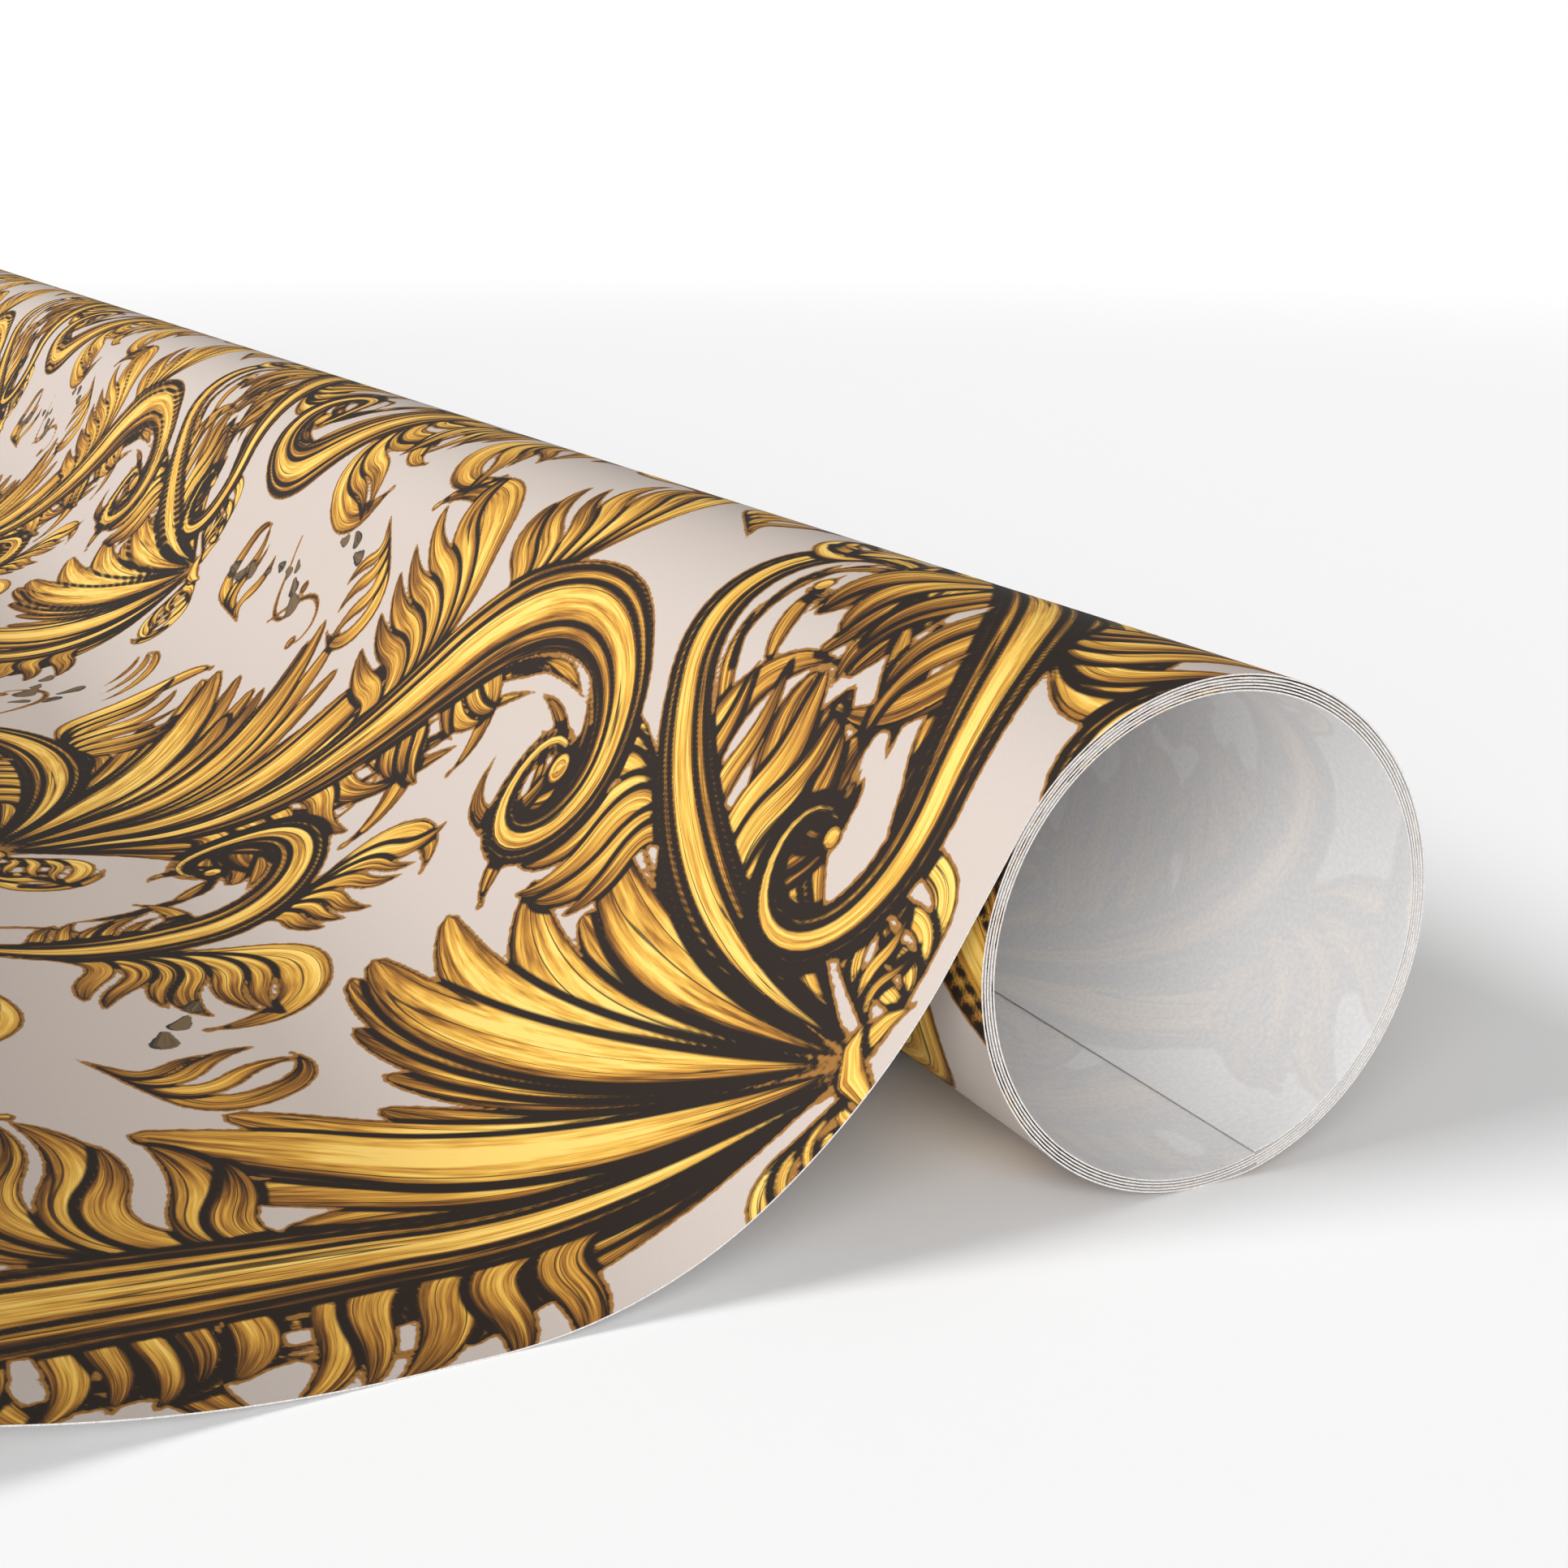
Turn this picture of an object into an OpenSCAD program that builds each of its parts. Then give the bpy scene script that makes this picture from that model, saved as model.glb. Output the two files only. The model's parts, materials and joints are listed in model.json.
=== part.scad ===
// Wrapping paper roll: one sheet, wound without a core, its end drawn off over the floor.
// Axes: X across the roll (the sheet is drawn off towards -X), Y along the roll, Z up, floor at Z = 0.
// The sheet is built as consecutive lengths, each one solid, split where it slides, spins or bends.

/* [Sheet] */
// Width of the sheet, which is the length of the roll
sheet_w = 762; // [400:1:1000]
// Thickness of the paper
paper_t = 0.13; // [0.08:0.01:0.3]
// Clear cut between two neighbouring lengths of the sheet
cut_gap = 0.3; // [0.2:0.05:0.6]

/* [Coil] */
// Outside diameter over the last, partly wound turn
roll_d = 43; // [30:0.5:80]
// Radial step from one turn to the next
turn_pitch = 0.25; // [0.2:0.01:0.5]
// Angle of the inner free edge and of every turn's cut, from +X towards +Z
seam_angle = -74; // [-85:1:-45]

/* [Drawn-off sheet] */
// Angle where the sheet leaves the roll
lead_angle = 148.5; // [135:0.5:155]
// Slope at which the upper hollow curve passes into the lower one
mid_slope = 36; // [25:1:45]
// Radius of the upper hollow curve
upper_r = 57; // [45:0.5:60]
// Radius of the lower hollow curve
lower_r = 35.6; // [28:0.1:40]
// Width of the strip that lies flat on the floor
flat_w = 5; // [3:0.5:20]
// Radius of the curve that lifts the sheet again
rise_r = 112; // [80:1:160]
// Slope the lifting curve ends with
rise_slope = 14; // [8:0.5:18]
// Radius of the hump before the free edge
hump_r = 150; // [100:1:220]

/* [Hidden] */

print_ground = [0.78, 0.72, 0.67];
coil_steps = 180;

// Coil: inner radius of each turn, counted outwards from the inner free edge
full_turns = 5;
coil_in_r = roll_d / 2 - paper_t - full_turns * turn_pitch;
function turn_r(n) = coil_in_r + (n - 1) * turn_pitch;
cut_angle = asin(cut_gap / 2 / coil_in_r);

// The last full turn rests on the floor: the partly wound turn starts beside the lowest line
axis_z = turn_r(full_turns) + paper_t;

// Drawn-off sheet, measured on the middle of the paper
half_t = paper_t / 2;
lead_r = turn_r(full_turns + 1) + half_t;
lead_slope = lead_angle - 90;
lead_at = [lead_r * cos(lead_angle), axis_z + lead_r * sin(lead_angle)];
upper_drop = upper_r * (cos(mid_slope) - cos(lead_slope));
lower_drop = lower_r * (1 - cos(mid_slope));
straight_l = (lead_at[1] - half_t - upper_drop - lower_drop) / sin(lead_slope);
upper_at = lead_at - straight_l * [cos(lead_slope), sin(lead_slope)];
upper_centre = upper_at + upper_r * [-sin(lead_slope), cos(lead_slope)];
lower_centre = upper_centre + (lower_r - upper_r) * [-sin(mid_slope), cos(mid_slope)];
floor_x = lower_centre[0];
rise_centre = [floor_x - flat_w, half_t + rise_r];
hump_centre = rise_centre - (rise_r + hump_r) * [sin(rise_slope), cos(rise_slope)];

// The hump ends where its middle surface is back at the height it has on the floor
end_slope = acos((half_t - hump_centre[1]) / hump_r);
edge_x = hump_centre[0] - (hump_r + half_t) * sin(end_slope);

// The middle of the whole part's width is X = 0
axis_x = -(roll_d / 2 + edge_x) / 2;

echo(axis_x = axis_x, axis_z = axis_z, lead_hinge = lead_at + [axis_x, 0],
     floor_hinge = [axis_x + floor_x, half_t], rest = axis_x + floor_x - flat_w / 2,
     coil_in_r = coil_in_r, straight_l = straight_l, end_slope = end_slope);

// Stands a shape drawn in X and Z up along Y
module along_y() {
  translate([axis_x, sheet_w / 2, 0]) rotate([90, 0, 0]) children();
}

// One turn of the coil, or part of one, between two angles
module turn(n, from_a, to_a) {
  color(print_ground) along_y() translate([0, axis_z, 0])
    rotate_extrude(angle = to_a - from_a, start = from_a, $fn = coil_steps)
      translate([turn_r(n), 0]) square([paper_t, sheet_w]);
}

module full_turn(n) {
  turn(n, seam_angle + cut_angle, seam_angle + 360 - cut_angle);
}

module outer_turn() {
  turn(full_turns + 1, seam_angle + cut_angle, lead_angle - cut_angle);
}

// Points on an arc, from one angle to another
function arc(centre, r, from_a, to_a, steps) =
  [for (i = [0 : steps]) centre + r * [cos(from_a + (to_a - from_a) * i / steps),
                                       sin(from_a + (to_a - from_a) * i / steps)]];
function back(points) = [for (i = [len(points) - 1 : -1 : 0]) points[i]];

// Paper between its upper and its lower face
module paper(upper, lower) {
  color(print_ground) along_y() linear_extrude(sheet_w) polygon(concat(upper, back(lower)));
}

// One face of each length; side is 1 for the upper face and -1 for the lower one
upper_steps = 24;
function lead_face(side) = concat(
  [lead_at - cut_gap / 2 * [cos(lead_slope), sin(lead_slope)]
   + side * half_t * [-sin(lead_slope), cos(lead_slope)]],
  arc(upper_centre, upper_r - side * half_t, lead_slope - 90, mid_slope - 90, upper_steps));

foot_steps = 36;
foot_end = asin(cut_gap / 2 / lower_r) - 90;
function foot_face(side) =
  arc(lower_centre, lower_r - side * half_t, mid_slope - 90, foot_end, foot_steps);

rise_steps = 16;
function strip_face(side) = concat(
  [[floor_x - cut_gap / 2, half_t + side * half_t]],
  arc(rise_centre, rise_r - side * half_t, -90, -90 - rise_slope, rise_steps));

hump_steps = 18;
function hump_face(side) = arc(hump_centre, hump_r + side * half_t, 90 - rise_slope, 90, hump_steps);

end_steps = 24;
function end_face(side) = arc(hump_centre, hump_r + side * half_t, 90, 90 + end_slope, end_steps);

full_turn(1);  // winding_1
full_turn(2);  // winding_2
full_turn(3);  // winding_3
full_turn(4);  // winding_4
full_turn(full_turns);  // winding_5
outer_turn();
paper(lead_face(1), lead_face(-1));  // lead_off
paper(foot_face(1), foot_face(-1));  // foot
paper(strip_face(1), strip_face(-1));  // floor_strip
paper(hump_face(1), hump_face(-1));  // hump
paper(end_face(1), end_face(-1));  // free_end
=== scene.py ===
import math
import json
import bpy
import numpy as np
from mathutils import Matrix, Vector


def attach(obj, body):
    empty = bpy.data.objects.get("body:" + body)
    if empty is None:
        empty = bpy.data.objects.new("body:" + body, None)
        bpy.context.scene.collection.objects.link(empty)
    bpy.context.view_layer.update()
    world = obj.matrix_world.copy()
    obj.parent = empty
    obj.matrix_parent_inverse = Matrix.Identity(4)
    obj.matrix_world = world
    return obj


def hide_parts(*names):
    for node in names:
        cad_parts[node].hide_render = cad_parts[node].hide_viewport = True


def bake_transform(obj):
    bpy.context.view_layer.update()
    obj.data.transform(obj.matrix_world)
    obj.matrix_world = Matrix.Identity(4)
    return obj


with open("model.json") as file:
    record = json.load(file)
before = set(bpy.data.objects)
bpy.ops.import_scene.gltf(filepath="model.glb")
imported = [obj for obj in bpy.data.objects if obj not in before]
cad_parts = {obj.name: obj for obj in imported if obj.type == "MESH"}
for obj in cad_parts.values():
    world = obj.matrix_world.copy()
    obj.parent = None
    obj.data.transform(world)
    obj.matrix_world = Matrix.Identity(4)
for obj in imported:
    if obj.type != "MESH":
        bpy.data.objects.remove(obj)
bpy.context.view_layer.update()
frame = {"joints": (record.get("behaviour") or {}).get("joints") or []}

# ---------------------------------------------------------------- the sheet's own geometry, in metres
WIDTH = 0.762                       # of the sheet, and so the length of the roll
T = 0.00013                         # thickness of the paper
STEP = 0.00025                      # from one turn to the next
ROLL_R = 0.0215                     # outer radius of the roll
COIL_R = ROLL_R - T - 5 * STEP      # inner face of the first turn
AXIS = Vector(next(j for j in frame["joints"] if j["name"] == "coil_spin")["pos_m"])
AX, AZ = AXIS.x, AXIS.z
SEAM = math.radians(-74)            # where each turn ends and the next begins
LEAD = math.radians(148.5)          # where the sheet leaves the roll
MID = math.radians(36)              # its slope where the upper hollow curve meets the lower one
UPPER_R = 0.057                     # radius of the upper hollow curve
LOWER_R = 0.0356                    # radius of the lower one, down to the floor
FLAT_W = 0.005                      # the strip that lies on the floor
RISE_R = 0.112                      # radius of the hollow curve that leaves the floor
HUMP_R = 0.150                      # radius of the hump
RISE = math.radians(14)             # the steepest slope up to the hump
CLIMB = math.radians(14)            # where the outer turn climbs onto itself: this much before the seam
LIP = 0.00022                       # how much the free edge inside the roll is lifted inwards
LIP_RUN = 0.006                     # over this much of the sheet
NEAR_Y, FAR_Y = -WIDTH / 2, WIDTH / 2


def ring(n):
    """Middle radius of turn n."""
    return COIL_R + (n - 1) * STEP + T / 2


def profile():
    """The drawn-off sheet as pieces of (length, kind, data), from the roll to the free edge."""
    # it leaves the roll at p and runs straight so far that the two hollow curves end on the floor
    a0 = LEAD - math.pi / 2
    r6 = ring(6)
    p = np.array([r6 * math.cos(LEAD), AZ + r6 * math.sin(LEAD)])
    drop = UPPER_R * (math.cos(MID) - math.cos(a0)) + LOWER_R * (1 - math.cos(MID))
    straight = (p[1] - T / 2 - drop) / math.sin(a0)
    up = p - straight * np.array([math.cos(a0), math.sin(a0)])
    # centres of the upper and the lower hollow curve, the rise and the hump
    c1 = up + UPPER_R * np.array([-math.sin(a0), math.cos(a0)])
    c2 = c1 + (LOWER_R - UPPER_R) * np.array([-math.sin(MID), math.cos(MID)])
    c3 = np.array([c2[0] - FLAT_W, T / 2 + RISE_R])
    c4 = c3 - (RISE_R + HUMP_R) * np.array([math.sin(RISE), math.cos(RISE)])
    end = math.acos((T / 2 - c4[1]) / HUMP_R)
    return [
        (straight, "line", (p, a0)),
        (UPPER_R * (a0 - MID), "hollow", (c1, UPPER_R, a0)),
        (LOWER_R * MID, "hollow", (c2, LOWER_R, MID)),
        (FLAT_W, "line", (np.array([c2[0], T / 2]), 0.0)),
        (RISE_R * RISE, "hollow", (c3, RISE_R, 0.0)),
        (HUMP_R * (RISE + end), "hump", (c4, HUMP_R, RISE)),
    ]


PROFILE = profile()
BREAKS = np.concatenate([[0], np.cumsum([p[0] for p in PROFILE])])
LENGTH_OUT = BREAKS[-1]
LAST_TURN = ring(6) * (LEAD - SEAM)
FULL = [2 * math.pi * ring(n) for n in range(1, 6)]


def drawn_off(s):
    """Middle point (x, z) and outward normal of the drawn-off sheet at distances s from where it leaves the
    roll."""
    s = np.asarray(s, float)
    x, z, nx, nz = (np.zeros_like(s) for _ in range(4))
    for i, (_, kind, data) in enumerate(PROFILE):
        slack = 1e-6 if i == len(PROFILE) - 1 else 0
        m = (s >= BREAKS[i]) & (s <= BREAKS[i + 1] + slack)
        t = s[m] - BREAKS[i]
        if kind == "line":
            p, a = data
            x[m], z[m] = p[0] - t * math.cos(a), p[1] - t * math.sin(a)
            nx[m], nz[m] = -math.sin(a), math.cos(a)
        elif kind == "hollow":
            c, r, a = data
            b = a - t / r
            x[m], z[m] = c[0] + r * np.sin(b), c[1] - r * np.cos(b)
            nx[m], nz[m] = -np.sin(b), np.cos(b)
        else:
            c, r, a = data
            b = a - t / r
            x[m], z[m] = c[0] + r * np.sin(b), c[1] + r * np.cos(b)
            nx[m], nz[m] = np.sin(b), np.cos(b)
    return x, z, nx, nz


def smooth(t):
    """A rise from 0 to 1 that starts and ends level."""
    t = np.clip(t, 0, 1)
    return t * t * (3 - 2 * t)


def outer(s):
    """The same for the outer 1.6 turns, s running up to 0 where the sheet leaves the roll."""
    s = np.asarray(s, float)
    on_last = s >= -LAST_TURN
    a = np.where(on_last, LEAD + s / ring(6), SEAM + (s + LAST_TURN) / ring(5))
    k = smooth((a - (SEAM - CLIMB)) / CLIMB)
    r = np.where(on_last, ring(6), ring(5) + STEP * k)
    return r * np.cos(a), AZ + r * np.sin(a), np.cos(a), np.sin(a)


def turn(n):
    """The same for full turn n, s running up to 0 at its outer end."""
    def at(s):
        s = np.asarray(s, float)
        a = SEAM + 2 * math.pi + s / ring(n)
        r = np.full_like(a, ring(n))
        if n == 1:
            from_edge = (a - SEAM) * ring(1)
            r = r - LIP * np.clip(1 - from_edge / LIP_RUN, 0, 1) ** 2
        return r * np.cos(a), AZ + r * np.sin(a), np.cos(a), np.sin(a)
    return at


# ---------------------------------------------------------------- the print
TILE = 0.232                        # one repeat of the print each way
CELLS = 512                         # samples across one repeat
PITCH = TILE / CELLS
TILE_MM, PITCH_MM = TILE * 1000, PITCH * 1000
LIGHT = (-0.6, 0.8)                 # where the painted light comes from, as s and y
LEAF, DROP = 0.0, 1.0               # the two kinds of stroke: gold, and slate
BARE = -30.0                        # ink and edge, in mm, where nothing has been painted
THIN = 0.3                          # the least half width of a band, in mm
STREAK_SHIFT = 500                  # a stroke's streaks start up to this many mm along, so that none match
RADIAN = 57.3                       # in degrees


def rnd(*seed):
    """A repeatable number from 0 to 1."""
    x = math.sin(sum(v * w for v, w in zip(seed, (12.9898, 78.233, 37.719, 4.581))) + 4.1414) * 43758.5453
    return x - math.floor(x)


class Print:
    """One repeat of the print as fields. ink and edge are distances in mm, inside the inked area and inside
    the visible part of one stroke. The others are the stroke's tone, kind and light, and the place along it
    in mm and across it in half widths."""

    def __init__(self):
        self.ink, self.edge = (np.full((CELLS, CELLS), BARE, np.float32) for _ in range(2))
        self.tone, self.kind, self.along, self.across, self.light = (
            np.zeros((CELLS, CELLS), np.float32) for _ in range(5))
        self.count = 0

    def stroke(self, pts, half, tone=0.5, kind=LEAF, reach=2.2, swell=0.0):
        """Paint a tapered stroke along pts with half widths half, over what is there already.
        Its tone is darker by swell at both ends than in the middle."""
        pts, half = np.asarray(pts, float), np.asarray(half, float)
        self.count += 1
        pad = half.max() + reach
        lo = np.floor((pts.min(0) - pad) / PITCH_MM).astype(int)
        size = np.minimum(np.ceil((pts.max(0) + pad) / PITCH_MM).astype(int) + 1 - lo, CELLS)
        ix, iy = lo[0] + np.arange(size[0]), lo[1] + np.arange(size[1])
        gx, gy = ix * PITCH_MM, iy * PITCH_MM
        best = np.full((size[0], size[1]), -1e9)
        u, v, lit = (np.zeros_like(best) for _ in range(3))
        d = np.diff(pts, axis=0)
        long = np.hypot(d[:, 0], d[:, 1]) + 1e-9
        start = np.concatenate([[0], np.cumsum(long)])[:-1]
        # each segment takes the samples that lie deeper in it than in the ones before
        for i in range(len(d)):
            r = max(half[i], half[i + 1]) + reach
            a, b = np.minimum(pts[i], pts[i + 1]) - r, np.maximum(pts[i], pts[i + 1]) + r
            i0, j0 = (max(0, int(a[k] // PITCH_MM) - lo[k]) for k in (0, 1))
            i1, j1 = (min(size[k], int(b[k] // PITCH_MM) + 2 - lo[k]) for k in (0, 1))
            if i1 <= i0 or j1 <= j0:
                continue
            qx, qy = (gx[i0:i1] - pts[i, 0])[:, None], (gy[j0:j1] - pts[i, 1])[None, :]
            t = np.clip((qx * d[i, 0] + qy * d[i, 1]) / long[i] ** 2, 0, 1)
            ex, ey = qx - t * d[i, 0], qy - t * d[i, 1]
            dist = np.hypot(ex, ey)
            w = half[i] + (half[i + 1] - half[i]) * t
            box = (slice(i0, i1), slice(j0, j1))
            take = w - dist > best[box]
            side = np.sign(d[i, 0] * ey - d[i, 1] * ex) * dist / np.maximum(w, THIN)
            facing = (d[i, 0] * LIGHT[1] - d[i, 1] * LIGHT[0]) / long[i]
            best[box] = np.where(take, w - dist, best[box])
            u[box] = np.where(take, start[i] + t * long[i], u[box])
            v[box] = np.where(take, side, v[box])
            lit[box] = np.where(take, np.clip(side, -1, 1) * facing, lit[box])
        total = start[-1] + long[-1]
        tone = tone + swell * (np.sin(np.pi * np.clip(u / total, 0, 1)) ** 1.3 - 1)
        # the stroke covers what it lies on; beyond its edge it claims only the bare ground nearest to it
        at = np.ix_(ix % CELLS, iy % CELLS)
        ink, edge = self.ink[at], self.edge[at]
        new = (best > 0) | ((best > ink) & (ink <= 0))
        self.edge[at] = np.where(new, best, np.minimum(edge, -best))
        self.ink[at] = np.maximum(ink, best)
        along = u + STREAK_SHIFT * rnd(self.count)
        for field, value in ((self.along, along), (self.across, v), (self.light, lit),
                             (self.tone, tone), (self.kind, kind)):
            field[at] = np.where(new, value, field[at])


def bend(x, y, heading, length, k0, k1, power=1.0, n=30):
    """Points and headings of a curve whose curvature, in degrees a mm, goes from k0 to k1.
    Lengths are in mm and angles in degrees here and in all the strokes below."""
    k = k0 + (k1 - k0) * ((np.arange(n) + 0.5) / n) ** power
    a = np.radians(heading + np.concatenate([[0], np.cumsum(k) * length / n]))
    mid = (a[:-1] + a[1:]) / 2
    xs = x + np.concatenate([[0], np.cumsum(np.cos(mid))]) * length / n
    ys = y + np.concatenate([[0], np.cumsum(np.sin(mid))]) * length / n
    return np.stack([xs, ys], -1), np.degrees(a)


def taper(n, wide, root=0.3, peak=0.5, tip=0.0, power=0.8):
    """Half widths that swell from root to wide at peak and narrow to tip."""
    t = np.linspace(0, 1, n)
    up = root + (1 - root) * np.sin(np.clip(t / peak, 0, 1) * np.pi / 2) ** 1.2
    down = tip + (1 - tip) * np.cos(np.clip((t - peak) / (1 - peak), 0, 1) * np.pi / 2) ** power
    return wide * up * down


def beside(pts, ang, i, off):
    """A point off the curve to its left."""
    a = math.radians(ang[i])
    return pts[i, 0] - math.sin(a) * off, pts[i, 1] + math.cos(a) * off


def strand(x, y, heading, lead, turn, radius, tip, curl, n=40):
    """A line that runs straight for lead, turns by turn degrees at about radius, then runs on for tip with
    a bend of curl degrees."""
    arc = abs(math.radians(turn)) * radius
    total = lead + arc + tip
    t = (np.arange(n) + 0.5) / n * total
    ramp = np.clip((t - lead) / max(arc, 1e-6), 0, 1)
    bulge = 6 * ramp * (1 - ramp)       # 1 on average over the bend
    k = np.where((t > lead) & (t < lead + arc), bulge * turn / max(arc, 1e-6), 0)
    k = k + np.where(t > lead + arc, curl / max(tip, 1e-6), 0)
    a = np.radians(heading + np.concatenate([[0], np.cumsum(k) * total / n]))
    mid = (a[:-1] + a[1:]) / 2
    xs = x + np.concatenate([[0], np.cumsum(np.cos(mid))]) * total / n
    ys = y + np.concatenate([[0], np.cumsum(np.sin(mid))]) * total / n
    return np.stack([xs, ys], -1)


def hook(p, x, y, heading, size, turn, seed, teeth=6, tone=0.76):
    """A curled leaf: strands leave one root and run together, then peel off one by one to the inside of the
    bend, the inner ones sooner. Each ends in a point, and the outermost in a curl."""
    s = 1 if turn >= 0 else -1
    for j in range(teeth + 1):
        r = rnd(seed, j)
        f = 1 - (j + 0.7 * (r - 0.5)) / (teeth + 0.5)
        first = j == 0
        lead = size * (0.12 + 0.48 * f) * (0.94 + 0.12 * rnd(seed, j, 2))
        radius = size * (0.12 + 0.20 * f)
        tip = size * (0.20 + 0.16 * r + (0.18 if first else 0.0))
        swing = turn * (1.02 - 0.22 * f) * (0.88 + 0.24 * rnd(seed, j, 1))
        curl = 85 if first else -34 - 34 * r
        pts = strand(x, y, heading + s * 1.4 * j, lead, swing, radius, tip, s * curl)
        wide = size * (0.090 if first else 0.048 + 0.026 * r)
        half = taper(len(pts), wide, root=0.05, peak=0.62, power=0.7)
        p.stroke(pts, half, tone + 0.14 * (r - 0.5) - 0.030 * j, swell=0.46)
        if first:
            p.stroke(pts[-2:], [size * 0.012, size * 0.020], tone - 0.16, reach=1.2)


# a lobe's strands, the lowest first: which side, how many degrees it turns out, and its share of the length
LOBE_STRANDS = ((-1.0, 30, 0.74), (1.0, 28, 0.80), (-0.7, 22, 0.86), (0.7, 18, 0.92), (-0.3, 8, 0.96),
                (0.15, 0, 1.0))


def lobe(p, x, y, heading, length, turn, wide, tone, seed):
    """A long lobe that sweeps round: narrow strands run side by side from the root and part at the tip."""
    for share, out, far in LOBE_STRANDS:
        r = rnd(seed, share)
        long = length * far * (0.95 + 0.10 * r)
        k = (turn + share * out) / long
        pts, _ = bend(x, y, heading + share * 4.2, long, k * 0.3, k * 2.4, 2, 30)
        body = wide * (0.62 + 0.26 * r) * (1.25 if far == 1.0 else 1.0)
        half = taper(len(pts), body, root=0.04, peak=0.72, power=0.50)
        p.stroke(pts, half, tone + 0.16 * (r - 0.5) - 0.10 * abs(share), swell=0.42)


def fan(p, x, y, heading, size, count, spread, seed, tone=0.80):
    """A spreading leaf: lobes that leave one root together and sweep apart, the outer ones underneath."""
    mid = (count - 1) / 2
    for i in sorted(range(count), key=lambda i: -abs(i - mid + 0.1)):
        f = (i - mid) / max(mid, 1)
        r = rnd(seed, i)
        length = size * (1.0 - 0.30 * abs(f) ** 1.5) * (0.88 + 0.24 * r)
        swing = f * spread * 0.85 + 34 * (r - 0.5) + 18
        wide = size * (0.050 + 0.010 * r)
        lighter = 0.12 * (r - 0.5)
        lobe(p, x, y, heading + f * spread * 0.38, length, swing, wide,
             tone + lighter - 0.06 * abs(f), seed * 31 + i)


def combs(p, pts, ang, side, first, last, count, length, seed, wide=1.2):
    """Loose strokes inside a curve that run along it, each ending in a point."""
    n = len(pts) - 1
    for j in range(count):
        f = first + (last - first) * (j + 0.5 * rnd(seed, j)) / count
        i = int(f * n)
        ahead, behind = min(i + 2, n), max(i - 2, 0)
        k = (ang[ahead] - ang[behind]) / (np.hypot(*(pts[ahead] - pts[behind])) + 1e-6)
        radius = RADIAN / max(abs(k), 0.3)
        off = side * min(3.0 + 11 * rnd(seed, j, 3), 0.72 * radius)
        h = length * (0.5 + 0.8 * rnd(seed, j, 2))
        bx, by = beside(pts, ang, i, off)
        tight = radius / max(radius - abs(off), 4)
        q, _ = bend(bx, by, ang[i] + side * 4, h, k * tight * 0.95, k * tight * 1.25, 1, 18)
        half = taper(len(q), wide * (0.5 + 0.9 * rnd(seed, j, 4)), root=0.1, power=1.0)
        p.stroke(q, half, 0.26 + 0.26 * rnd(seed, j, 6), reach=1.2)


# a scroll's bands, the lowest first: place across it, share of its width, and how much lighter it is
BANDS = ((-0.84, 0.20, -0.22), (0.84, 0.24, -0.26), (-0.56, 0.26, -0.02), (0.52, 0.30, -0.08),
         (-0.04, 0.46, 0.20))


def scroll(p, x, y, heading, length, k0, k1, wide, seed, power, hairs, leaves, tone=0.52):
    """A scroll: leaves peel off its outside, hairs lie inside it, and bands wind up into a curled head."""
    n = max(60, int(length / 1.7))
    pts, ang = bend(x, y, heading, length, k0, k1, power, n)
    s = 1 if k1 > 0 else -1
    combs(p, pts, ang, s, 0.22, 0.74, hairs, length * 0.15, seed)
    half = taper(n + 1, wide, root=0.05, peak=0.42, tip=0.24, power=1.1)
    for j, (f, size, turn) in enumerate(leaves):
        i = int(f * n)
        side = 1 if turn > 0 else -1
        bx, by = beside(pts, ang, i, side * half[i] * 0.3)
        hook(p, bx, by, ang[i] + side * 6, size, turn, seed * 17 + j)
    for off, share, lighter in BANDS:
        q = np.array([beside(pts, ang, i, s * off * half[i]) for i in range(n + 1)])
        p.stroke(q, np.maximum(half * share, THIN), tone + lighter)
    a = math.radians(ang[-1] + s * 90)
    r = wide * 0.34
    dot = pts[-1] + np.array([math.cos(a), math.sin(a)]) * r * 0.6
    p.stroke(np.array([dot, dot + [0.01, 0.01]]), [r, r], tone + 0.16)


def tendril(p, x, y, heading, length, k0, k1, wide=0.5, tone=0.20):
    """A thin line that curls up and ends in a bud."""
    pts, _ = bend(x, y, heading, length, k0, k1, 2, 26)
    p.stroke(pts, taper(len(pts), wide, root=0.6, tip=0.5, power=1.0), tone, reach=1.0)
    p.stroke(np.array([pts[-1], pts[-1] + [0.01, 0]]), [wide * 2.2, wide * 2.2], tone + 0.1, reach=1.0)


def drops(p, x, y, heading, count, gap, seed):
    """A loose row of droplets that get smaller."""
    for j in range(count):
        a = math.radians(heading + 60 * (rnd(seed, j) - 0.5))
        x, y = x + math.cos(a) * gap, y + math.sin(a) * gap
        r = (1.7 - 0.8 * j / count) * (0.6 + 0.6 * rnd(seed, j, 1))
        q = np.array([[x, y], [x + math.cos(a) * r * 1.8, y + math.sin(a) * r * 1.8]])
        p.stroke(q, [r, r * 0.35], 0.15 + 0.35 * rnd(seed, j, 2), DROP, reach=1.4)


class Place:
    """Local axes for one group of strokes: turned by rot degrees and, if flip is -1, mirrored."""

    def __init__(self, x, y, rot, flip, size):
        self.x, self.y, self.rot, self.flip, self.size = x, y, rot, flip, size
        self.c, self.s = math.cos(math.radians(rot)), math.sin(math.radians(rot))

    def at(self, dx, dy):
        """The place in the repeat of a local one."""
        dx, dy = dx * self.flip * self.size, dy * self.size
        return self.x + dx * self.c - dy * self.s, self.y + dx * self.s + dy * self.c

    def to(self, a):
        """The heading of a local one."""
        return (a if self.flip > 0 else 180 - a) + self.rot

    def turn(self, a):
        """The same for a turn or a curvature, to the left if positive."""
        return a * self.flip


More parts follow.
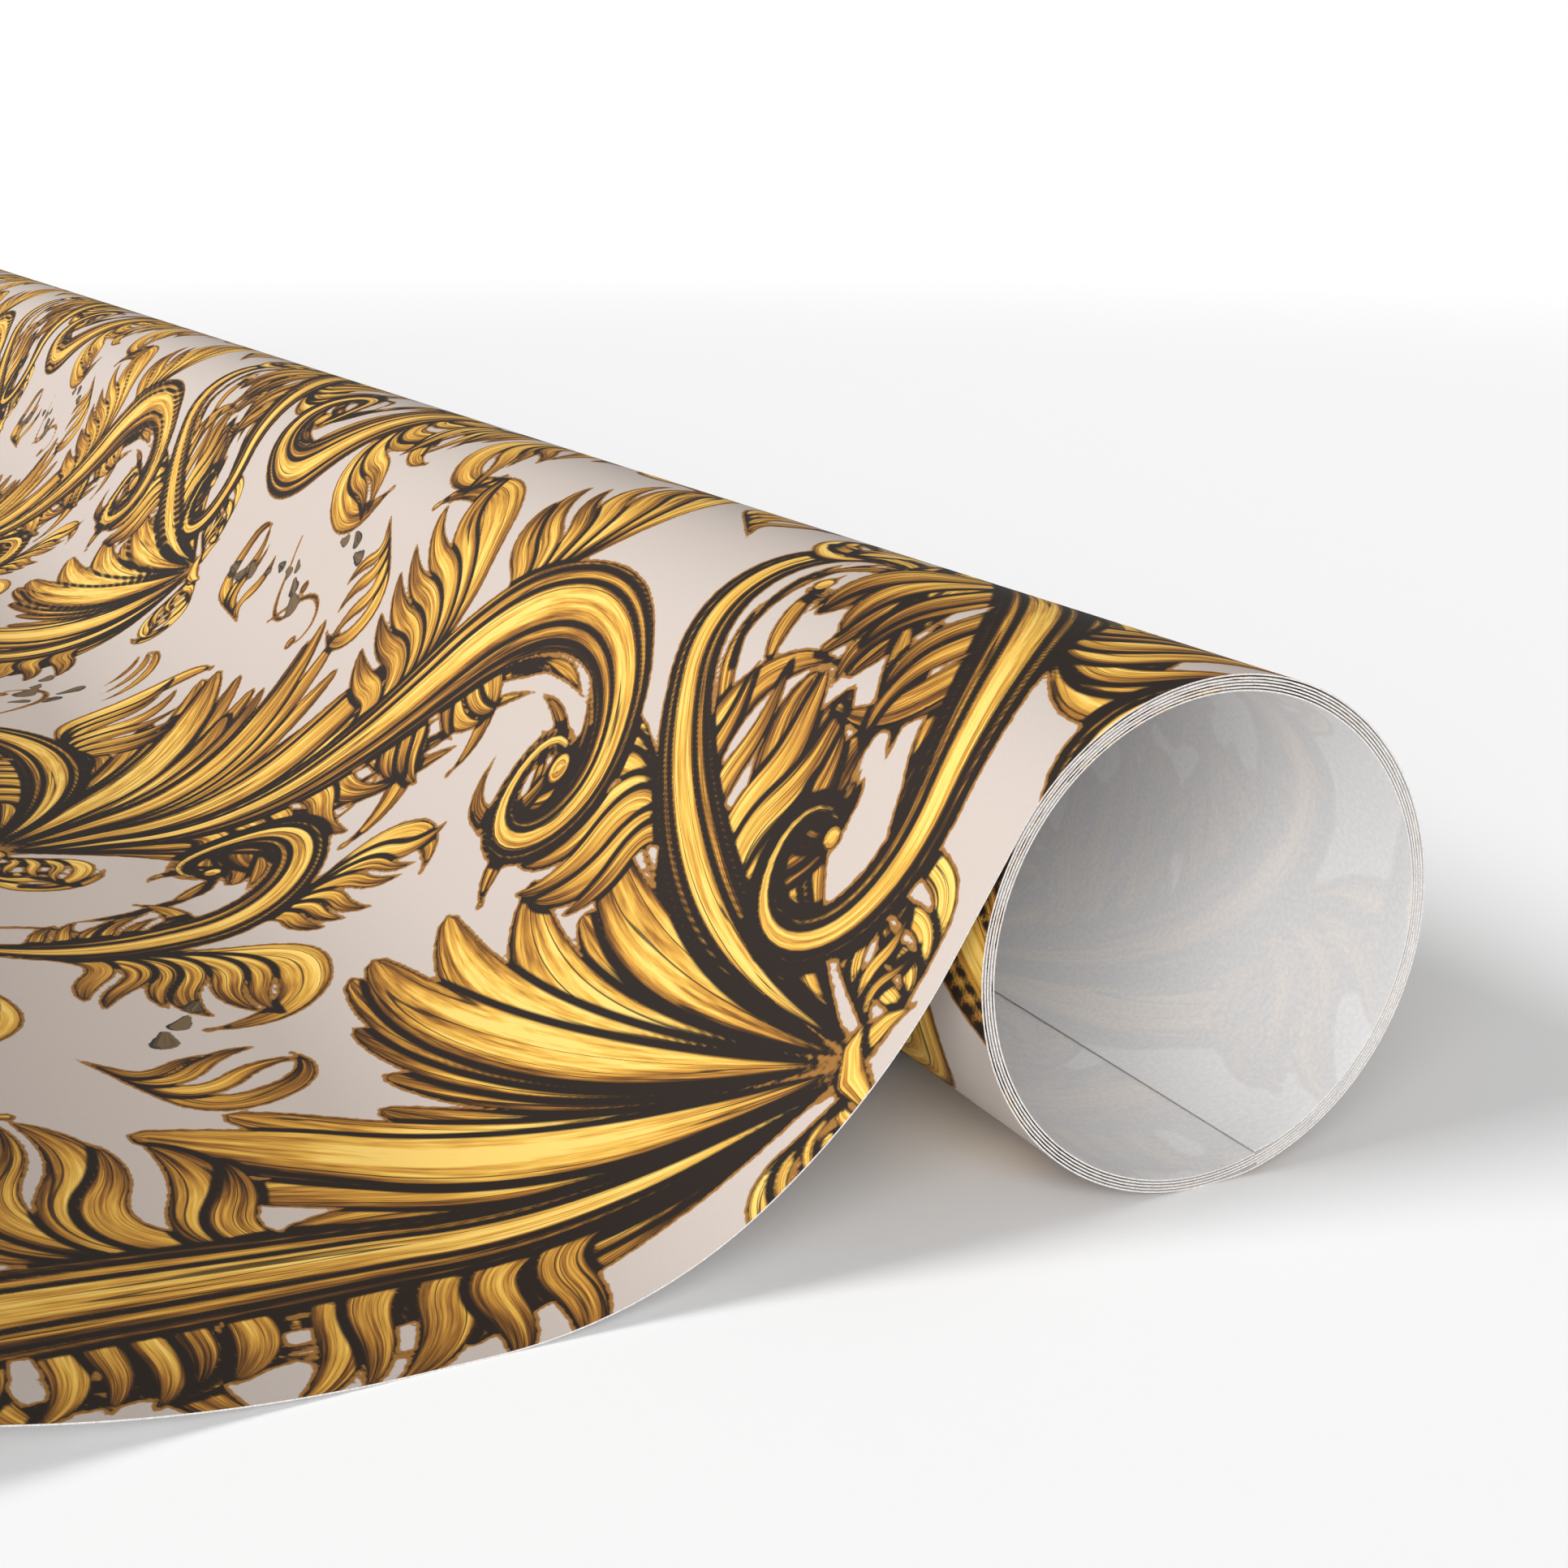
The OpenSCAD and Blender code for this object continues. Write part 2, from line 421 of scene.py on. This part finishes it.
def collar(p, o, size, seed):
    """Two short leaves that wrap a root and turn back from it."""
    for side in (-1, 1):
        hook(p, *o.at(0, 0), o.to(90 + side * 112), size * o.size, o.turn(side * -84),
             seed + side, teeth=3)
        hook(p, *o.at(0, 0), o.to(90 + side * 58), size * 0.9 * o.size, o.turn(side * 96),
             seed + 5 + side, teeth=3)


# half of the little wrap that covers a spray's root, as places and half widths in mm
WRAP = ((5.6, -4.4, 0.3), (4.2, -0.6, 1.5), (1.8, 2.2, 2.3), (-1.6, 3.4, 1.7), (-5.0, 2.6, 0.3))


def spray(p, o, seed):
    """A large scroll and a small one from one root, with leaves along both and a fan between them."""
    m, t = o.size, o.turn
    j = 8 * (rnd(seed, 3) - 0.5)
    tendril(p, *o.at(-26, 44), o.to(130), 40 * m, t(1.2), t(17))
    tendril(p, *o.at(34, 24), o.to(10), 38 * m, t(1.5), t(17))
    fan(p, *o.at(0, 2), o.to(94 + j), 92 * m, 5, 92, seed + 2)
    scroll(p, *o.at(-1, 0), o.to(112 + j), 148 * m, t(0.85), t(16), 5.6 * m, seed + 1, 4.4, 10,
           leaves=((0.36, 46 * m, t(-92)), (0.14, 50 * m, t(104))))
    scroll(p, *o.at(1, 0), o.to(72 + j), 216 * m, t(-0.78), t(-14), 8.2 * m, seed, 4.6, 20,
           leaves=((0.24, 60 * m, t(100)), (0.43, 50 * m, t(96)),
                   (0.10, 56 * m, t(-104)), (0.29, 40 * m, t(-96))))
    collar(p, o, 24, seed + 30)
    for side in (-1, 1):
        p.stroke([o.at(side * a, b) for a, b, _ in WRAP], [w * m for _, _, w in WRAP], 0.60, reach=1.4)


def sprig(p, o, seed):
    """A small loose scroll with its leaves."""
    m, t = o.size, o.turn
    tendril(p, *o.at(6, -22), o.to(30), 30 * m, t(1.5), t(17))
    hook(p, *o.at(0, -26), o.to(112), 48 * m, t(96), seed + 3)
    scroll(p, *o.at(0, -26), o.to(80), 112 * m, t(-1.5), t(-16), 5.4 * m, seed, 4.0, 8,
           leaves=((0.18, 44 * m, t(98)), (0.40, 34 * m, t(92)), (0.12, 30 * m, t(-92))))


def crumb(p, o, seed):
    """Something small for the gaps: a curled leaf, a budding tendril or a few crescents, with droplets."""
    m, t = o.size, o.turn
    kind = int(3 * rnd(seed, 8))
    if kind == 0:
        hook(p, *o.at(-4, -8), o.to(80), 22 * m, t(-104), seed, teeth=3, tone=0.60)
    elif kind == 1:
        tendril(p, *o.at(-2, -11), o.to(100), 26 * m, t(-1.0), t(-24), 0.6)
    else:
        for k in range(3):
            foot = o.at(-8 + 3.4 * k, -9 + 2 * k)
            q, _ = bend(*foot, o.to(104 - 6 * k), (20 - 4 * k) * m, t(-3.0), t(-7), 1, 18)
            p.stroke(q, taper(len(q), 1.3 - 0.25 * k, root=0.1), 0.42, reach=1.4)
    drops(p, *o.at(2, -2), o.to(360 * rnd(seed, 2)), 3, 4.6, seed + 1)


def emptiest(p, reach, grid=64):
    """The place in the repeat, in mm, with the least ink around it out to about reach mm."""
    fold = CELLS // grid
    inked = (p.ink > 0).reshape(grid, fold, grid, fold).mean((1, 3))
    f = np.fft.fftfreq(grid, TILE_MM / grid)
    blur = np.exp(-2 * (np.pi * reach * 0.5) ** 2 * (f[:, None] ** 2 + f[None, :] ** 2))
    near = np.fft.ifft2(np.fft.fft2(inked) * blur).real
    i, j = np.unravel_index(near.argmin(), near.shape)
    return (i + 0.5) * TILE_MM / grid, (j + 0.5) * TILE_MM / grid


# the sprays' roots in mm, how each is turned in degrees, and whether it is mirrored
SPRAYS = ((20, 2, -30, 1), (196, 66, 160, 1), (74, 134, 60, -1), (138, 222, 200, -1))
SPRAY_SIZE = 0.76
SPRIG_COUNT, SPRIG_SIZE = 4, 0.78
SPRIG_ROOM = 34                     # how far round a place its ink counts, in mm
CRUMB_COUNT, CRUMB_SIZE = 24, 1.0
CRUMB_ROOM = 11
TURN_ON = 137.5                     # degrees from one sprig or crumb to the next, so that no two line up


def rinceau():
    """The repeat: four sprays, each turned its own way, then sprigs and crumbs where there is most room."""
    p = Print()
    for k, (x, y, rot, flip) in enumerate(SPRAYS):
        spray(p, Place(x, y, rot, flip, SPRAY_SIZE), 10 + 7 * k)
    for k in range(SPRIG_COUNT):
        flip = 1 if k % 2 else -1
        sprig(p, Place(*emptiest(p, SPRIG_ROOM), TURN_ON * k, flip, SPRIG_SIZE), 70 + 9 * k)
    for k in range(CRUMB_COUNT):
        flip = 1 if k % 2 else -1
        crumb(p, Place(*emptiest(p, CRUMB_ROOM), TURN_ON * k, flip, CRUMB_SIZE), 300 + 5 * k)
    return p


RINCEAU = rinceau()

# ---------------------------------------------------------------- meshes
def stitch(a, b):
    """Triangles between two rows of (vertex, place along the row), both running the same way."""
    out, i, j = [], 0, 0
    while i < len(a) - 1 or j < len(b) - 1:
        if j == len(b) - 1 or (i < len(a) - 1 and a[i + 1][1] <= b[j + 1][1]):
            out.append((a[i][0], a[i + 1][0], b[j][0]))
            i += 1
        else:
            out.append((a[i][0], b[j + 1][0], b[j][0]))
            j += 1
    return out


# what lies round a grid of vertices: its two sides and its two ends
SIDE_A, SIDE_B = (slice(None), 0), (slice(None), -1)
END_A, END_B = (0, slice(None)), (-1, slice(None))
FACE_SLOT, BACK_SLOT, EDGE_SLOT = 0, 1, 2       # the order of each mesh's materials
PLAIN_ROWS = 9                                  # for backs that face the floor or the next turn in


def along_edge(grid, take, places):
    """A row of (vertex, place along the row) from one edge of a grid."""
    return list(zip(grid[take].tolist(), places.tolist()))


def length_of_paper(name, at, cols, rows, s0, back_cols=None, back_rows=None):
    """One length of the sheet: a printed face over cols (s) by rows (y), a plainer back, and cut edges.
    s0 is added to s for the print, so that it runs on from one length to the next."""
    back_cols = cols[::2] if back_cols is None else back_cols
    if back_cols[-1] != cols[-1]:
        back_cols = np.append(back_cols, cols[-1])
    back_rows = np.linspace(rows[0], rows[-1], PLAIN_ROWS) if back_rows is None else back_rows
    verts, faces, mats, grids = [], [], [], []
    s_all, y_all = [], []
    base = 0
    for side, cs, rs in ((1, cols, rows), (-1, back_cols, back_rows)):
        x, z, nx, nz = at(cs)
        x, z = x + side * T / 2 * nx, z + side * T / 2 * nz
        n, m = len(cs), len(rs)
        p = np.empty((n, m, 3))
        p[..., 0] = (x + AX)[:, None]
        p[..., 1] = rs[None, :]
        p[..., 2] = z[:, None]
        verts.append(p.reshape(-1, 3))
        s_all.append(np.repeat(cs, m))
        y_all.append(np.tile(rs, n))
        idx = base + np.arange(n * m).reshape(n, m)
        q = np.stack([idx[:-1, :-1], idx[1:, :-1], idx[1:, 1:], idx[:-1, 1:]], -1).reshape(-1, 4)
        faces.append(q if side == 1 else q[:, ::-1])
        mats.append(np.full(len(q), FACE_SLOT if side == 1 else BACK_SLOT))
        grids.append(idx)
        base += n * m
    # the cut edges join the two faces all round
    front, back = grids
    rim = []
    for take, on_front, on_back, flip in (
            (SIDE_A, cols, back_cols, True), (SIDE_B, cols, back_cols, False),
            (END_A, rows, back_rows, False), (END_B, rows, back_rows, True)):
        tri = stitch(along_edge(front, take, on_front), along_edge(back, take, on_back))
        rim += [t[::-1] for t in tri] if flip else tri
    quads = np.concatenate(faces)
    rim = np.array(rim)
    me = bpy.data.meshes.new(name)
    v = np.concatenate(verts)
    me.vertices.add(len(v))
    me.vertices.foreach_set("co", v.ravel())
    loops = np.concatenate([quads.ravel(), rim.ravel()])
    me.loops.add(len(loops))
    me.loops.foreach_set("vertex_index", loops)
    start = np.concatenate([np.arange(len(quads)) * 4, len(quads) * 4 + np.arange(len(rim)) * 3])
    me.polygons.add(len(start))
    me.polygons.foreach_set("loop_start", start)
    slots = np.concatenate(mats + [np.full(len(rim), EDGE_SLOT)])
    me.polygons.foreach_set("material_index", slots.astype(np.int32))
    smooth_shaded = np.arange(len(start)) < len(quads)
    me.polygons.foreach_set("use_smooth", smooth_shaded)
    me.update(calc_edges=True)
    # the edges all round the printed face and the back are sharp
    outline = np.zeros(len(v), np.int8)
    for mark, grid in ((1, front), (2, back)):
        for take in (SIDE_A, SIDE_B, END_A, END_B):
            outline[grid[take]] = mark
    ends = np.empty(len(me.edges) * 2, np.int32)
    me.edges.foreach_get("vertices", ends)
    ends = outline[ends.reshape(-1, 2)]
    sharp = (ends[:, 0] == ends[:, 1]) & (ends[:, 0] > 0)
    sharp_edge = me.attributes.new("sharp_edge", "BOOLEAN", "EDGE")
    sharp_edge.data.foreach_set("value", sharp)
    s_all, y_all = np.concatenate(s_all) + s0, np.concatenate(y_all)
    for label, value in print_at(s_all, y_all).items():
        a = me.attributes.new(label, "FLOAT_VECTOR" if value.ndim == 2 else "FLOAT", "POINT")
        a.data.foreach_set("vector" if value.ndim == 2 else "value", value.astype(np.float32).ravel())
    ob = bpy.data.objects.new(name, me)
    bpy.context.collection.objects.link(ob)
    for m in (PRINT_MAT, BACK_MAT, EDGE_MAT):
        me.materials.append(m)
    return ob


def steps(spans):
    """Places on the print's own raster, over spans of (from, to, every nth sample), ends kept exactly."""
    out = []
    clear = 0.2                     # no sample lies closer to an end than this share of a step
    for lo, hi, n in spans:
        k = PITCH * n
        first, last = math.ceil(lo / k + clear), math.floor(hi / k - clear)
        out += [lo] + [i * k for i in range(first, last + 1)]
    return np.array(out + [spans[-1][1]])


# ---------------------------------------------------------------- materials
def linear(r, g, b):
    """An sRGB colour, 0 to 255, as the shader wants it."""
    def one(v):
        v /= 255
        return v / 12.92 if v <= 0.04045 else ((v + 0.055) / 1.055) ** 2.4
    return one(r), one(g), one(b), 1.0


class Shader:
    """A short way to write a node tree."""

    def __init__(self, name, roughness, specular):
        self.mat = bpy.data.materials.new(name)
        self.mat.use_nodes = True
        self.tree = self.mat.node_tree
        self.surface = self.tree.nodes["Principled BSDF"]
        self.surface.inputs["Roughness"].default_value = roughness
        self.surface.inputs["Specular IOR Level"].default_value = specular

    def node(self, kind, inputs, out=0, **settings):
        """A node with its inputs linked or set; gives back its output out."""
        n = self.tree.nodes.new(kind)
        for key, value in settings.items():
            setattr(n, key, value)
        for key, value in inputs.items():
            if isinstance(value, bpy.types.NodeSocket):
                self.tree.links.new(value, n.inputs[key])
            else:
                n.inputs[key].default_value = value
        return n.outputs[out]

    def attr(self, name, out="Fac"):
        """One of the print's fields, from print_at."""
        return self.node("ShaderNodeAttribute", {}, out, attribute_name=name)

    def math(self, op, a, b=0.0, c=0.0):
        return self.node("ShaderNodeMath", {0: a, 1: b, 2: c}, operation=op)

    def add(self, *terms):
        total = terms[0]
        for t in terms[1:]:
            total = self.math("ADD", total, t)
        return total

    def times(self, a, b):
        return self.math("MULTIPLY", a, b)

    def step(self, value, lo, hi, to_lo=0.0, to_hi=1.0):
        """From to_lo where value is lo or less to to_hi where it is hi or more."""
        return self.node("ShaderNodeMapRange", {"Value": value, "From Min": lo, "From Max": hi,
                                                "To Min": to_lo, "To Max": to_hi},
                         interpolation_type="SMOOTHSTEP")

    def vec(self, x, y, z=0.0):
        return self.node("ShaderNodeCombineXYZ", {"X": x, "Y": y, "Z": z})

    def noise(self, vector, scale=1.0, detail=2.0, rough=0.5):
        return self.node("ShaderNodeTexNoise", {"Vector": vector, "Scale": scale, "Detail": detail,
                                                "Roughness": rough})

    def mix(self, factor, a, b):
        """Colour a where factor is 0, b where it is 1."""
        n = self.tree.nodes.new("ShaderNodeMix")
        n.data_type = "RGBA"
        for key, value in ((0, factor), (6, a), (7, b)):
            if isinstance(value, bpy.types.NodeSocket):
                self.tree.links.new(value, n.inputs[key])
            else:
                n.inputs[key].default_value = value
        return n.outputs[2]

    def ramp(self, value, stops):
        """The colour at value along stops of (place, colour)."""
        n = self.tree.nodes.new("ShaderNodeValToRGB")
        self.tree.links.new(value, n.inputs[0])
        e = n.color_ramp.elements
        while len(e) < len(stops):
            e.new(0.5)
        for item, (place, colour) in zip(e, stops):
            item.position, item.color = place, colour
        return n.outputs[0]

    def finish(self, colour, height=None, depth=0.00002):
        """Put the colour on the surface, with bumps depth metres high where height is given."""
        self.tree.links.new(colour, self.surface.inputs["Base Color"])
        if height is not None:
            bump = self.node("ShaderNodeBump", {"Height": height, "Strength": 0.6, "Distance": depth})
            self.tree.links.new(bump, self.surface.inputs["Normal"])
        return self.mat


# from the darkest tone to the lightest
GOLD = [(0.00, linear(15, 11, 8)), (0.20, linear(46, 29, 14)), (0.38, linear(106, 67, 24)),
        (0.54, linear(150, 101, 37)), (0.70, linear(190, 139, 54)), (0.86, linear(216, 170, 73)),
        (1.00, linear(233, 195, 104))]
LINE_COLOUR = linear(24, 17, 12)            # the fine dark lines along a stroke
OUTLINE_COLOUR = linear(30, 20, 13)         # round each stroke
RIM_COLOUR = linear(142, 98, 42)            # where the ink meets the bare ground
# each from its darker patches to its lighter ones
SLATE = linear(40, 38, 38), linear(104, 84, 58)
GROUND = linear(172, 160, 152), linear(194, 183, 175)
WHITE = linear(229, 228, 228), linear(238, 237, 237)
FIBRE = linear(186, 182, 178), linear(214, 211, 208)
SHOW_THROUGH = 0.10                         # how much of the print shows on the back


def inked(sh):
    """The ink's colour at each place, how much of the place it covers, and the place itself."""
    ink, edge, tone, across, along, light, kind = (
        sh.attr(n) for n in ("ink", "edge", "tone", "across", "along", "light", "kind"))
    place = sh.attr("place", "Vector")
    rough_edge = sh.times(sh.add(sh.noise(place, 1100, 2), -0.5), 0.45)
    ink = sh.add(ink, rough_edge)
    # each stroke is streaked lengthwise, rounded across and lit from one side
    streak = sh.noise(sh.vec(sh.times(across, 2.7), sh.times(along, 0.035)), 1.0, 3, 0.55)
    fine = sh.noise(sh.vec(sh.times(across, 9.0), sh.times(along, 0.16), 7.0), 1.0, 2, 0.6)
    rounded = sh.step(sh.math("ABSOLUTE", across), 0.45, 1.05, 0.12, -0.26)
    value = sh.add(tone, rounded, sh.times(light, 0.22), sh.times(sh.add(streak, -0.5), 1.5),
                   sh.times(sh.add(fine, -0.5), 0.75))
    gold = sh.ramp(value, GOLD)
    # a dark line follows wherever this slow noise passes 0.47
    line_at = sh.noise(sh.vec(sh.times(across, 1.6), sh.times(along, 0.012), 31.0), 1.0, 1, 0.4)
    line_off = sh.math("ABSOLUTE", sh.add(line_at, -0.47))
    gold = sh.mix(sh.step(line_off, 0.006, 0.022, 0.85, 0.0), gold, LINE_COLOUR)
    gold = sh.mix(sh.step(edge, 0.28, 0.66, 1.0, 0.0), gold, OUTLINE_COLOUR)
    gold = sh.mix(sh.step(ink, 0.22, 0.42, 1.0, 0.0), gold, RIM_COLOUR)
    slate = sh.mix(sh.step(value, 0.1, 0.5), *SLATE)
    colour = sh.mix(kind, gold, slate)
    cover = sh.step(ink, -0.05, 0.12)
    return colour, cover, place


def printed():
    """The printed side: matt, with a fine grain."""
    sh = Shader("printed_face", 0.62, 0.25)
    colour, cover, place = inked(sh)
    grain = sh.noise(place, 2600, 3, 0.7)
    cloud = sh.noise(place, 60, 2)
    tint = sh.add(sh.times(sh.add(grain, -0.5), 0.34), sh.times(sh.add(cloud, -0.5), 0.06), 0.5)
    ground = sh.mix(tint, *GROUND)
    return sh.finish(sh.mix(cover, ground, colour), grain)


def back():
    """The unprinted side: satin white, with the print showing through very faintly."""
    sh = Shader("paper_back", 0.42, 0.45)
    colour, cover, place = inked(sh)
    grain = sh.noise(place, 2200, 2, 0.6)
    white = sh.mix(sh.step(grain, 0.3, 0.7), *WHITE)
    return sh.finish(sh.mix(sh.times(cover, SHOW_THROUGH), white, colour), grain)


def cut():
    """The cut edge: bare fibre."""
    sh = Shader("cut_edge", 0.7, 0.3)
    place = sh.attr("place", "Vector")
    fibre = sh.noise(place, 5200, 2, 0.6)
    return sh.finish(sh.mix(sh.step(fibre, 0.3, 0.7), *FIBRE))


PRINT_MAT, BACK_MAT, EDGE_MAT = printed(), back(), cut()
DEEPEST, FARTHEST = 9, -4                   # distances beyond these, in mm, all look the same


def print_at(s, y):
    """The print's fields at places s along the sheet and y along the roll, in metres. The distances are
    blended between samples; the rest is taken from the nearest one."""
    u, v = np.mod(s / PITCH, CELLS), np.mod((y - NEAR_Y) / PITCH, CELLS)
    i, j = np.floor(u).astype(int), np.floor(v).astype(int)
    a, b = u - i, v - j
    i0, j0, i1, j1 = i % CELLS, j % CELLS, (i + 1) % CELLS, (j + 1) % CELLS
    out = {}
    for name in ("ink", "edge"):
        f = getattr(RINCEAU, name)
        out[name] = ((f[i0, j0] * (1 - a) + f[i1, j0] * a) * (1 - b)
                     + (f[i0, j1] * (1 - a) + f[i1, j1] * a) * b).clip(FARTHEST, DEEPEST)
    near = (np.where(a < 0.5, i0, i1), np.where(b < 0.5, j0, j1))
    for name in ("tone", "kind", "along", "across", "light"):
        out[name] = getattr(RINCEAU, name)[near]
    out["place"] = np.stack([s, y, np.zeros_like(s)], -1)
    return out


# ---------------------------------------------------------------- the sheet
ZONES = [("near", NEAR_Y, NEAR_Y / 3), ("middle", NEAR_Y / 3, FAR_Y / 3), ("far", FAR_Y / 3, FAR_Y)]
SHOWN = 0.040                       # how much of each inner turn may slide into view
COIL_END, LEAD_END = -0.006, 0.044  # where one length of the sheet ends and the next begins
BEND_IN = (COIL_END, 0.014)         # the stretch that would bend as the drawn-off sheet lifts; only its end points are found here
BEND_DOWN = (LEAD_END, 0.076)       # the stretch that would bend as its end lifts; only its end points are found here
LAID_END = -(LAST_TURN + FULL[4])   # the inner end of the outer 1.6 turns
COVERED_TO = -0.134                 # up to here the outer turns lie under themselves
UNDER_TO = -0.034                   # from there to here they lie under the sheet, or face down or away
TAIL_NEAR = 0.100                   # about where the drawn-off sheet leaves the picture
UNSEEN = 12                         # where one turn covers another, only every 12th sample has a row


def point(s):
    """The point at s on the drawn-off sheet or the outer turns, halfway along the roll."""
    x, z = (float(v[0]) for v in (drawn_off([s]) if s >= 0 else outer([s]))[:2])
    return Vector((x + AX, 0, z))


def sheet_at(s):
    """The outer turns and the drawn-off sheet as one, s running through 0 where it leaves the roll."""
    s = np.asarray(s, float)
    a, b = outer(np.minimum(s, 0)), drawn_off(np.maximum(s, 0))
    return tuple(np.where(s < 0, p, q) for p, q in zip(a, b))


def sheet_piece(name, at, cols, rows, s0, **more):
    """One length of the sheet."""
    ob = length_of_paper(name, at, cols, rows, s0, **more)
    return ob


for zone, y0, y1 in ZONES:
    close = zone == "near"
    fine = 1 if close else 2
    rows = steps([(y0, y1, fine)])
    coil = steps([(LAID_END, COVERED_TO, 3), (COVERED_TO, UNDER_TO, 2), (UNDER_TO, COIL_END, fine)])
    ob = sheet_piece(f"outer_turn_{zone}", sheet_at, coil, rows, 0)
    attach(ob, "outer_turns")
    lead = steps([(COIL_END, LEAD_END, fine)])
    ob = sheet_piece(f"lead_off_{zone}", sheet_at, lead, rows, 0)
    point(BEND_IN[0])
    point(BEND_IN[1])
    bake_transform(ob)
    tail = steps([(LEAD_END, TAIL_NEAR, fine), (TAIL_NEAR, LENGTH_OUT, 2)])
    ob = sheet_piece(f"tail_{zone}", sheet_at, tail, rows, 0)
    point(BEND_DOWN[0])
    point(BEND_DOWN[1])
    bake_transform(ob)
    for n in (4, 3, 2, 1):
        s0 = -(LAST_TURN + sum(FULL[n:]))
        spans = {"near": [(y0, y0 + SHOWN, 2), (y0 + SHOWN, y1, UNSEEN)],
                 "middle": [(y0, y1, UNSEEN)],
                 "far": [(y0, y1 - SHOWN, UNSEEN), (y1 - SHOWN, y1, 2)]}[zone]
        inner_end = -FULL[n - 1]
        around = steps([(inner_end, inner_end + LIP_RUN, 1), (inner_end + LIP_RUN, 0, 2)])
        more = {}
        if n == 1:
            # the inside of the roll shows, so the back of the first turn is as fine as a face
            more = {"back_cols": around, "back_rows": steps([(y0, y1, 3 if close else 6)])}
        ob = sheet_piece(f"winding_{n}_{zone}", turn(n), around, steps(spans), s0, **more)
        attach(ob, f"winding_{n}")
        if close:
            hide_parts(f"winding_{n}")

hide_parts("winding_5", "outer_turn")
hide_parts("lead_off", "foot")
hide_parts("floor_strip", "hump", "free_end")


# ---------------------------------------------------------------- floor, light and camera
FLOOR_HALF = 6.0                    # half the floor's width
FADE = (0.45, 1.5)                  # how far from the part the floor starts and stops getting brighter
FLOOR_NEAR, FLOOR_FAR = 0.885, 0.99

# which way each light shines, how broad it is in degrees, and its strength
KEY = (0.95, -0.17, -0.66), 22, 2.36
FILL = (0.50, 0.86, -0.13), 70, 4.6
WORLD_STRENGTH = 0.33

# the camera, from the picture: its place from below the near end of the axis in roll radii, and its angles
EYE = (-4.7874, -6.1050, 3.7295)
YAW, PITCH_ANGLE, ROLL_ANGLE = 26.409, -15.786, 0.174
SENSOR_MM, LENS_MM = 36.0, 50.51


def grey(v):
    """A colour that gives back the share v of the light."""
    return v, v, v, 1


def floor():
    """A plain floor that brightens to white away from the part."""
    sh = Shader("pale_floor", 0.9, 0.1)
    places = sh.tree.nodes.new("ShaderNodeTexCoord")
    away = sh.tree.nodes.new("ShaderNodeVectorMath")
    away.operation = "LENGTH"
    sh.tree.links.new(places.outputs["Object"], away.inputs[0])
    sh.finish(sh.mix(sh.step(away.outputs["Value"], *FADE), grey(FLOOR_NEAR), grey(FLOOR_FAR)))
    half = FLOOR_HALF
    corners = [(-half, -half, 0), (half, -half, 0), (half, half, 0), (-half, half, 0)]
    me = bpy.data.meshes.new("floor")
    me.from_pydata(corners, [], [(0, 1, 2, 3)])
    me.materials.append(sh.mat)
    ob = bpy.data.objects.new("floor", me)
    bpy.context.collection.objects.link(ob)


def sun(name, toward, spread, strength):
    """A broad soft light, even over the whole floor."""
    data = bpy.data.lights.new(name, "SUN")
    data.angle = math.radians(spread)
    data.energy = strength
    ob = bpy.data.objects.new(name, data)
    ob.rotation_euler = Vector(toward).to_track_quat("-Z", "Y").to_euler()
    bpy.context.collection.objects.link(ob)


def camera():
    """The camera low at the roll's near end, looking along it and to the right."""
    data = bpy.data.cameras.new("camera")
    data.sensor_width = SENSOR_MM
    data.lens = LENS_MM
    data.clip_start = 0.01
    data.clip_end = 50
    ob = bpy.data.objects.new("camera", data)
    eye = Vector((AX, NEAR_Y, 0)) + ROLL_R * Vector(EYE)
    yaw, pitch, roll = (math.radians(v) for v in (YAW, PITCH_ANGLE, ROLL_ANGLE))
    aim = Vector((math.sin(yaw) * math.cos(pitch), math.cos(yaw) * math.cos(pitch), math.sin(pitch)))
    turn_to = aim.to_track_quat("-Z", "Y").to_matrix() @ Matrix.Rotation(roll, 3, "Z")
    ob.matrix_world = Matrix.Translation(eye) @ turn_to.to_4x4()
    bpy.context.collection.objects.link(ob)
    bpy.context.scene.camera = ob


def surroundings():
    """Even white light from all round, and plain white where the camera sees past the floor."""
    white = grey(1)
    world = bpy.data.worlds.new("studio")
    world.use_nodes = True
    nodes, links = world.node_tree.nodes, world.node_tree.links
    glow = nodes["Background"]
    glow.inputs["Color"].default_value = white
    glow.inputs["Strength"].default_value = WORLD_STRENGTH
    plain = nodes.new("ShaderNodeBackground")
    plain.inputs["Color"].default_value = white
    path = nodes.new("ShaderNodeLightPath")
    either = nodes.new("ShaderNodeMixShader")
    links.new(path.outputs["Is Camera Ray"], either.inputs[0])
    links.new(glow.outputs[0], either.inputs[1])
    links.new(plain.outputs[0], either.inputs[2])
    links.new(either.outputs[0], nodes["World Output"].inputs[0])
    bpy.context.scene.world = world


floor()
sun("key", *KEY)
sun("fill", *FILL)
camera()
surroundings()
bpy.context.scene.view_settings.view_transform = "Standard"
